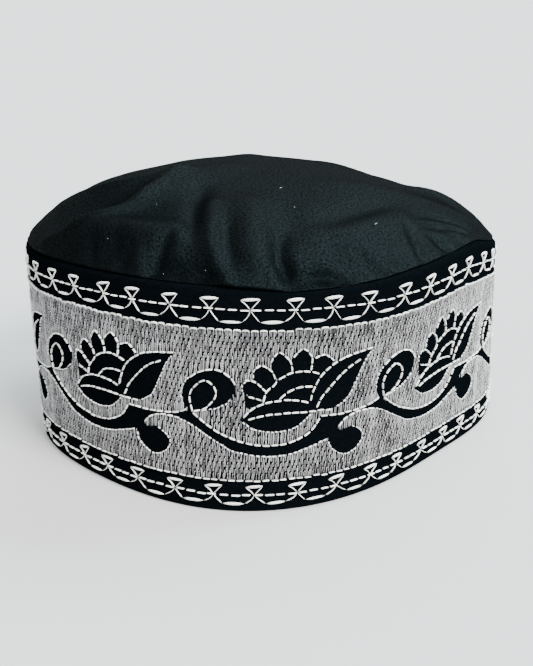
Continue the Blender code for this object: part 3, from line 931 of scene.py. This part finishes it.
def build_border(name, line_height, top_height, low_height, crossings, first, rng):
    """One stitched border all round the cap."""
    pitch = PERIMETER / crossings
    places = first + np.arange(crossings) * pitch + rng.normal(0, CROSSING_WANDER, crossings)
    line = dashes(level_line(line_height), BORDER_DASH, BORDER_GAP, rng)
    line[..., 1] += rng.normal(0, BORDER_WANDER, (len(line), 1))
    lines = [line]
    widths = [dash_widths(len(line), BORDER_DASH_WIDTH, rng)]
    crests = [np.full(line.shape[:2], BORDER_DASH_CREST)]
    even = np.ones((1, len(DASH_STATIONS)))
    for here, after in zip(places, np.append(places[1:], places[0] + PERIMETER)):
        ties, bars = border_motif(here, after, line_height, top_height, low_height, rng)
        for group, width, width_spread, crest in (
            (ties, TIE_WIDTH * even, TIE_WIDTH_SPREAD, TIE_CREST),
            (bars, BAR_WIDTH * BAR_PROFILE * even, BAR_WIDTH_SPREAD, OUTLINE_CREST),
        ):
            for points in group:
                lines.append(spread(points)[None])
                widths.append(width * rng.uniform(*width_spread))
                crests.append(crest * even)
    joined = (np.concatenate(group) for group in (lines, widths, crests))
    make_white_threads(name, *joined, BORDER_SHADE, BORDER_SHADE_SPREAD, rng)


# The rows of the band's outer and inner faces, as nominal heights, from the hem to the edge and back down.
BAND_COLUMNS = 640
HEM_ROWS = [0.5, 1.0, 2.0]
FACE_ROWS = np.linspace(4, 78, 38)
EDGE_ROWS = [78.8, 79.3, 79.7, 80.0]
INNER_ROWS = np.linspace(79, 1, 14)

# The hem is rounded under the outer face, and the upper edge rolls inward, in mm.
HEM_FLAT = 0.9
HEM_CORNER = 0.25
HEM_CORNER_HEIGHT = 0.12
INNER_CORNER = 0.5
INNER_EDGE = 0.2
EDGE_ROLL = 1.1
EDGE_ROLL_START = 78.4
OUTER_TOLERANCE = 0.01
SHIFT_START = 77.5

# The cloth stands off its stiffener in faint ripples, in mm and in radians per mm.
PUFF = 0.06
RIPPLE_ALONG = 1.3
RIPPLE_BEND = 0.9
RIPPLE_UP = 0.7
RIPPLE_DRIFT = 0.11


def build_band():
    """The stiffened black band: a closed section with a rounded hem and a rolled upper edge."""
    outer = np.concatenate([HEM_ROWS, FACE_ROWS, EDGE_ROWS])
    roll = EDGE_ROLL * ramp(outer, EDGE_ROLL_START, BAND_HEIGHT) ** 2
    section = [(BAND_INSIDE + INNER_CORNER, 0.0), (CLOTH_OUT - HEM_FLAT, 0.0)]
    section += [(CLOTH_OUT - HEM_CORNER, HEM_CORNER_HEIGHT)]
    section += [(CLOTH_OUT - inward, height) for inward, height in zip(roll, outer)]
    section += [(BAND_INSIDE + INNER_EDGE, BAND_HEIGHT)]
    section += [(BAND_INSIDE, height) for height in INNER_ROWS]
    out, height = np.array(section).T
    along = PERIMETER * np.arange(BAND_COLUMNS) / BAND_COLUMNS
    grid_along, grid_height = np.meshgrid(along, height)
    grid_out = np.repeat(out[:, None], BAND_COLUMNS, axis=1)
    is_outer = (grid_out > CLOTH_OUT - OUTER_TOLERANCE).astype(float)
    ripple = np.sin(grid_along * RIPPLE_ALONG + np.sin(grid_height * RIPPLE_BEND))
    puff = PUFF * ripple * np.sin(grid_height * RIPPLE_UP + grid_along * RIPPLE_DRIFT)
    points = wall_point(grid_along, grid_height, grid_out + is_outer * puff)
    bearing = np.interp(grid_along, WALK_LENGTHS, WALK_BEARINGS)
    points[..., 2] += seam_shift(bearing) * ramp(grid_height, SHIFT_START, BAND_HEIGHT)
    steps = np.concatenate([[0], np.cumsum(np.hypot(np.diff(out), np.diff(height)))])
    uv = np.stack([grid_along, np.repeat(steps[:, None], BAND_COLUMNS, axis=1)], axis=-1)
    faces = ring_faces(len(section), BAND_COLUMNS).tolist()
    piece = make_piece(
        "band_cloth", points.reshape(-1, 3), faces, COTTON, uv.reshape(-1, 2),
    )
    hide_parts("band")
    return piece


# The crown: a dome over the seam, in mm, as in the CAD. Its reach is 0 at the apex and 1 at the seam.
CROWN_RISE = 24.0
CROWN_SHOULDER = 3.0
CROWN_BULGE = 2.0
BULGE_REACH = 0.7
SIDE_TURN = 6
BAND_OUTSIDE = -0.6
PIECE_GAP = 0.3
APEX = np.array([-6.5, -7.5])

# Folds of the crown, in mm. A ridge has a positive height and a groove a negative one.
FOLDS = [
    # top_bearing, top_reach, mid_bearing, mid_reach, foot_bearing, foot_reach, height, half_width
    (342, 0.12, 28, 0.52, 17, 0.90, 3.4, 9),
    (352, 0.22, 24, 0.42, 28, 0.62, 1.8, 3.4),
    (28, 0.58, 25, 0.77, 10, 0.95, 1.7, 3.2),
    (15, 0.34, 7, 0.60, 352, 0.80, 3.6, 9),
    (334, 0.56, 346, 0.72, 345, 0.90, -1.8, 8),
    (21, 0.33, 8, 0.58, 351, 0.78, 1.4, 3.2),
    (354, 0.80, 6, 0.86, 12, 0.94, 0.8, 2.4),
    (22, 0.62, 17, 0.76, 6, 0.88, -1.6, 8),
    (22, 0.84, 36, 0.81, 52, 0.79, 4.6, 7),
    (50, 0.72, 55, 0.80, 58, 0.85, 0.9, 3),
    (50, 0.96, 57, 0.95, 63, 0.97, -2.4, 4),
    (32, 0.83, 35, 0.91, 38, 0.99, 0.4, 2.4),
    (28, 0.85, 31, 0.92, 34, 0.98, -0.7, 2.4),
    (36, 0.82, 39, 0.90, 42, 0.98, -0.7, 2.4),
    (43, 0.84, 45, 0.90, 47, 0.97, 0.6, 1.8),
    (51, 0.80, 50.5, 0.90, 49.5, 0.99, -1.9, 2.6),
    (46, 0.40, 54, 0.63, 57, 0.82, -1.9, 4.0),
    (57, 0.54, 63, 0.80, 68, 0.99, 2.8, 4.6),
    (66, 0.74, 67, 0.86, 69, 0.97, -2.2, 3.2),
    (73, 0.52, 73, 0.76, 73, 0.97, 2.4, 7),
    (91, 0.50, 86, 0.66, 82, 0.80, -1.2, 6),
    (81, 0.76, 79, 0.87, 80.5, 0.97, -3.4, 3.2),
    (84, 0.955, 89, 0.955, 92, 0.995, -3.4, 3.4),
    (92, 0.78, 107, 0.77, 128, 0.76, 2.0, 6),
    (98, 0.72, 114, 0.68, 128, 0.70, -1.5, 6),
    (94, 0.82, 95, 0.89, 95, 0.96, -1.8, 4),
    (99, 0.84, 100, 0.92, 102, 0.98, -1.4, 2.2),
    (107, 0.90, 107, 0.94, 107, 0.98, -1.4, 2.4),
    (123, 0.83, 118, 0.90, 115, 0.97, -1.7, 2.8),
    (126, 0.92, 127, 0.95, 127, 0.99, -2.0, 3),
    (131, 0.79, 143, 0.84, 148, 0.94, -1.5, 2.8),
    (129, 0.85, 138, 0.895, 143, 0.955, -1.7, 2.6),
    (128, 0.40, 148, 0.66, 160, 0.86, 1.2, 8),
    (150, 0.965, 158, 0.96, 166, 0.97, -1.5, 4),
    (178, 0.72, 180, 0.80, 171, 0.89, 3.2, 6),
    (196, 0.55, 200, 0.78, 203, 0.97, -1.6, 6),
    (222, 0.62, 219, 0.80, 218, 0.97, 1.5, 7),
    (236, 0.58, 237, 0.78, 240, 0.97, -1.7, 6),
    (262, 0.50, 258, 0.74, 257, 0.97, 1.6, 8),
    (276, 0.60, 277, 0.80, 280, 0.97, -1.6, 6),
    (306, 0.62, 304, 0.80, 301, 0.97, -1.6, 6),
    (322, 0.66, 325, 0.82, 328, 0.97, 1.4, 7),
]
SAMPLE_SPACING = 0.3
FEWEST_SAMPLES = 3
FOLD_REACH = 2.6
FOLD_END_STRENGTH = 0.12
FOLD_SWELL = 0.7
SEAM_FADE = 0.012
CROWN_COLUMNS = 480
CROWN_ROWS = 120
CROWN_THICKNESS = 1.2
ROW_CROWDING = 1.25
INNER_STEP = 5
SEAM_ROWS = [0, 2]

# The crown turns in over the seam, follows the seam's rises and dips, and blouses out where it dips.
SEAM_ROLL = 1.2
SEAM_ROLL_START = 0.988
SHIFT_REACH = 0.85
BLOUSE = 0.4

# Puckers at the seam: bearings in degrees, reaches of their tops and feet, heights and half widths in mm.
PUCKER_SPACING = 3.6
PUCKER_WANDER = 1.0
PUCKER_LEAN = 2.0
PUCKER_TOPS = (0.86, 0.94)
PUCKER_FOOT = 0.99
PUCKER_HEIGHTS = (0.2, 0.6)
PUCKER_HALF_WIDTHS = (1.6, 2.8)


def crown_plan(bearing, reach):
    """A place of the crown in plan, in mm, from arrays of bearings and reaches."""
    reach = reach[..., None]
    return plan_point(round_the_cap(SEAM_RADIUS, bearing), bearing) * reach + APEX * (1 - reach ** 2)


def fold_heights(flat, folds):
    """How far the folds lift the crown at each point of its plan, in mm."""
    total = np.zeros(flat.shape[:-1])
    for *stations, height, half_width in folds:
        top, middle, foot = crown_plan(np.array(stations[0::2]), np.array(stations[1::2]))
        pull = 2 * middle - (top + foot) / 2
        samples = np.linalg.norm(foot - top) / (SAMPLE_SPACING * half_width)
        along = np.linspace(0, 1, FEWEST_SAMPLES + int(samples))
        line = (
            np.outer((1 - along) ** 2, top)
            + np.outer(2 * along * (1 - along), pull)
            + np.outer(along ** 2, foot)
        )
        strength = np.sin(np.pi * (FOLD_END_STRENGTH + (1 - 2 * FOLD_END_STRENGTH) * along)) ** FOLD_SWELL
        margin = FOLD_REACH * half_width
        near = np.all((flat > line.min(axis=0) - margin) & (flat < line.max(axis=0) + margin), axis=-1)
        distance = np.linalg.norm(flat[near][:, None] - line, axis=-1)
        total[near] += height * np.max(strength * np.exp(-(distance / half_width) ** 2), axis=-1)
    return total


def small_puckers(rng):
    """Short puckers all round the seam, where the crown is gathered onto the band."""
    rows = []
    for bearing in np.arange(0, 360, PUCKER_SPACING):
        middle = bearing + rng.normal(0, PUCKER_WANDER)
        lean = rng.normal(0, PUCKER_LEAN)
        top = rng.uniform(*PUCKER_TOPS)
        height = rng.uniform(*PUCKER_HEIGHTS) * rng.choice([-1, 1])
        half_width = rng.uniform(*PUCKER_HALF_WIDTHS)
        mid_reach = (top + PUCKER_FOOT) / 2
        rows.append((middle - lean, top, middle, mid_reach, middle + lean, PUCKER_FOOT, height, half_width))
    return rows


def crown_surface(bearing, reach, puckers):
    """The crown's outer surface in mm at arrays of bearings and reaches."""
    flat = crown_plan(bearing, reach)
    folds = fold_heights(flat, FOLDS + puckers) * np.clip((1 - reach) / SEAM_FADE, 0, 1)
    bulge = CROWN_BULGE * np.sin(np.pi * ramp(reach, BULGE_REACH, 1))
    side = reach ** SIDE_TURN
    roll = SEAM_ROLL * ramp(reach, SEAM_ROLL_START, 1.0) ** 2
    shift = seam_shift(bearing) * ramp(reach, SHIFT_REACH, 1.0)
    blouse = np.maximum(-shift, 0) * BLOUSE
    push = (folds + BAND_OUTSIDE) * side + bulge - roll + blouse + swell(bearing) * side
    level = round_the_cap(SEAM_HEIGHT, bearing) * reach ** 2 + np.mean(SEAM_HEIGHT) * (1 - reach ** 2)
    rise = CROWN_RISE * (1 - reach ** CROWN_SHOULDER)
    z = PIECE_GAP + level + rise + folds * (1 - side / 2) + shift
    flat = flat + outward(bearing) * push[..., None]
    return np.concatenate([flat - CENTRE, z[..., None]], axis=-1)


def crown_faces(row_count):
    """The crown's faces: quads between its rows, and a fan outside and a fan inside at the apex.

    The ring of rows goes up the outer face and down the inner face. Its quads across the apex are left out.
    """
    quads = ring_faces(row_count, CROWN_COLUMNS)
    last_outer = CROWN_ROWS - 1
    faces = quads[quads[:, 0] // CROWN_COLUMNS != last_outer].tolist()
    first = last_outer * CROWN_COLUMNS
    tips = row_count * CROWN_COLUMNS
    for column in range(CROWN_COLUMNS):
        right = (column + 1) % CROWN_COLUMNS
        low = first + CROWN_COLUMNS
        faces.append((first + column, first + right, tips))
        faces.append((low + right, low + column, tips + 1))
    return faces


def build_crown(puckers):
    """The soft crown: a folded and gathered dome of thin cloth, with its inner face."""
    bearings = 360 * np.arange(CROWN_COLUMNS) / CROWN_COLUMNS
    shares = np.arange(CROWN_ROWS) / CROWN_ROWS
    grid_bearings, grid_reaches = np.meshgrid(bearings, 1 - shares ** ROW_CROWDING)
    outer = crown_surface(grid_bearings, grid_reaches, puckers)
    round_way = np.roll(outer, -1, axis=1) - np.roll(outer, 1, axis=1)
    up_way = np.gradient(outer, axis=0)
    normals = np.cross(round_way, up_way)
    normals /= np.linalg.norm(normals, axis=-1, keepdims=True)
    normals[0, :, 2] = 0
    coarse_rows = np.arange(INNER_STEP, CROWN_ROWS, INNER_STEP)
    inner_rows = np.unique(np.concatenate([SEAM_ROWS, coarse_rows, [CROWN_ROWS - 1]]))
    inner = outer[inner_rows] - normals[inner_rows] * CROWN_THICKNESS
    rows = np.concatenate([outer, inner[::-1]])
    tip = outer[-1].mean(axis=0)
    points = np.concatenate([rows.reshape(-1, 3), [tip, tip - [0, 0, CROWN_THICKNESS]]])
    steps = np.linalg.norm(np.diff(outer, axis=0), axis=-1)
    travel = np.concatenate([np.zeros((1, CROWN_COLUMNS)), np.cumsum(steps, axis=0)])
    outer_uv = plan_point(travel[-1] - travel, grid_bearings)
    uv = np.concatenate([outer_uv, outer_uv[inner_rows][::-1]]).reshape(-1, 2)
    uv = np.concatenate([uv, np.zeros((2, 2))])
    piece = make_piece("crown_cloth", points, crown_faces(len(rows)), SATEEN, uv)
    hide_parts("crown")
    return piece


# Specks of lint on the crown: its place, and its length in degrees of bearing and in reach.
LINT = [
    # bearing, reach, bearing_step, reach_step
    (37, 0.62, 0.6, 0.003), (95, 0.37, 3.0, -0.006), (92, 0.56, 0.8, 0.004), (111, 0.78, 2.2, -0.006),
    (35, 0.87, 0.3, 0.003), (52, 0.96, 0.4, 0.004), (62, 0.93, 0.4, 0.003),
]
LINT_WIDTH = 0.13
LINT_LIFT = 0.06
LINT_SHADE = 0.1

# A speck is a sliver with six corners: start, left, end, right, top and underside.
LINT_FACES = np.array([
    (1, 0, 4), (2, 1, 4), (3, 2, 4), (0, 3, 4), (0, 1, 5), (1, 2, 5), (2, 3, 5), (3, 0, 5),
])
LINT_UV = [(0.0, 0.0), (0.5, 0.2), (1.0, 0.0), (0.5, -0.2), (0.5, 0.0), (0.5, 0.0)]


def build_lint(puckers):
    """Specks of pale lint: small closed slivers that lie on the crown."""
    bearing, reach, bearing_step, reach_step = np.array(LINT).T
    start, middle, end = (
        crown_surface(np.mod(bearing + share * bearing_step, 360), reach + share * reach_step, puckers)
        for share in (-0.5, 0.0, 0.5)
    )
    along = end - start
    along /= np.linalg.norm(along, axis=1, keepdims=True)
    level = np.stack([-along[:, 1], along[:, 0], np.zeros(len(along))], axis=-1)
    half = level * LINT_WIDTH / 2
    lift = np.array([0, 0, LINT_LIFT])
    raised = middle + lift / 2
    points = np.stack([start, raised + half, end, raised - half, middle + lift * 2, middle - lift], axis=1)
    firsts = len(LINT_UV) * np.arange(len(LINT))
    faces = (LINT_FACES + firsts[:, None, None]).reshape(-1, 3).tolist()
    uv = np.tile(LINT_UV, (len(LINT), 1))
    shade = np.full(len(uv), LINT_SHADE)
    make_piece("lint", points.reshape(-1, 3), faces, WHITE_THREAD, uv, shade)


# The floor: half its side and how far it lies under the rim, in metres, and its grey and its own faint light.
FLOOR_HALF = 30.0
FLOOR_DROP = 0.0002
FLOOR_GREY = 0.4
FLOOR_GLOW = 0.2


def build_floor():
    """A plain pale floor, which lights the cloth but isn't mirrored in its gloss."""
    mesh = bpy.data.meshes.new("floor")
    corners = [(-1, -1), (1, -1), (1, 1), (-1, 1)]
    mesh.from_pydata([(x * FLOOR_HALF, y * FLOOR_HALF, 0) for x, y in corners], [], [(0, 1, 2, 3)])
    material, shader = new_material("pale_floor", roughness=0.9, specular=0.1)
    shader.inputs["Base Color"].default_value = (FLOOR_GREY, FLOOR_GREY, FLOOR_GREY, 1)
    shader.inputs["Emission Color"].default_value = (1, 1, 1, 1)
    shader.inputs["Emission Strength"].default_value = FLOOR_GLOW
    mesh.materials.append(material)
    floor = bpy.data.objects.new("floor", mesh)
    bpy.context.scene.collection.objects.link(floor)
    floor.location.z = -FLOOR_DROP
    floor.visible_glossy = False


# The camera: its angles in degrees, its distance and aim in mm, and its lens.
CAMERA_AZIMUTH = 76.0
CAMERA_ELEVATION = 19.74
CAMERA_DISTANCE = 480.0
CAMERA_LENS = 61.5
CAMERA_ROLL = -0.22
AIM = Vector((-1.30, -1.29, 33.69))


def direction(azimuth, elevation):
    """The way out toward an azimuth and an elevation in degrees."""
    azimuth, elevation = np.radians((azimuth, elevation))
    return Vector((
        np.sin(azimuth) * np.cos(elevation), -np.cos(azimuth) * np.cos(elevation), np.sin(elevation),
    ))


def build_camera():
    """The camera at the photograph's angle."""
    back = direction(CAMERA_AZIMUTH, CAMERA_ELEVATION)
    data = bpy.data.cameras.new("camera")
    data.lens = CAMERA_LENS
    camera = bpy.data.objects.new("camera", data)
    bpy.context.scene.collection.objects.link(camera)
    turn = back.to_track_quat("Z", "Y").to_matrix().to_4x4()
    roll = Matrix.Rotation(np.radians(CAMERA_ROLL), 4, "Z")
    camera.matrix_world = Matrix.Translation((AIM + back * CAMERA_DISTANCE) * MM) @ turn @ roll
    bpy.context.scene.camera = camera


# The studio: broad soft lights, each with its direction in degrees, strength, spread in degrees and colour.
LIGHTS = [
    # name, azimuth, elevation, strength, spread, colour
    ("key", 117, 40, 10.0, 28, (1.0, 0.99, 0.97)),
    ("over", 100, 80, 3.0, 40, (1.0, 1.0, 1.0)),
    ("back", 195, 40, 5.4, 30, (0.66, 0.93, 1.0)),
    ("far", 240, 46, 2.0, 34, (0.66, 0.93, 1.0)),
    ("left", 50, 20, 1.8, 60, (1.0, 1.0, 1.0)),
]
WORLD_COLOUR = (0.86, 0.95, 1.0)
WORLD_STRENGTH = 0.6


def build_light(name, azimuth, elevation, strength, spread_angle, colour):
    """A broad soft light from one direction."""
    data = bpy.data.lights.new(name, "SUN")
    data.energy = strength
    data.angle = np.radians(spread_angle)
    data.color = colour
    light = bpy.data.objects.new(name, data)
    bpy.context.scene.collection.objects.link(light)
    light.rotation_mode = "QUATERNION"
    light.rotation_quaternion = direction(azimuth, elevation).to_track_quat("Z", "Y")


def build_world():
    """A pale surrounding that lights the shadows."""
    world = bpy.data.worlds.new("studio")
    world.use_nodes = True
    background = world.node_tree.nodes["Background"]
    background.inputs["Color"].default_value = (*WORLD_COLOUR, 1)
    background.inputs["Strength"].default_value = WORLD_STRENGTH
    bpy.context.scene.world = world


build_camera()
rng = np.random.default_rng(SEED)
puckers = small_puckers(rng)
crown = build_crown(puckers)
build_lint(puckers)
band = build_band()
build_fill(rng)
build_outlines(rng)
build_field_top(rng)
build_field_foot(rng)
for border in BORDERS:
    build_border(*border, rng)
build_floor()
build_world()
for light in LIGHTS:
    build_light(*light)

bpy.context.view_layer.update()
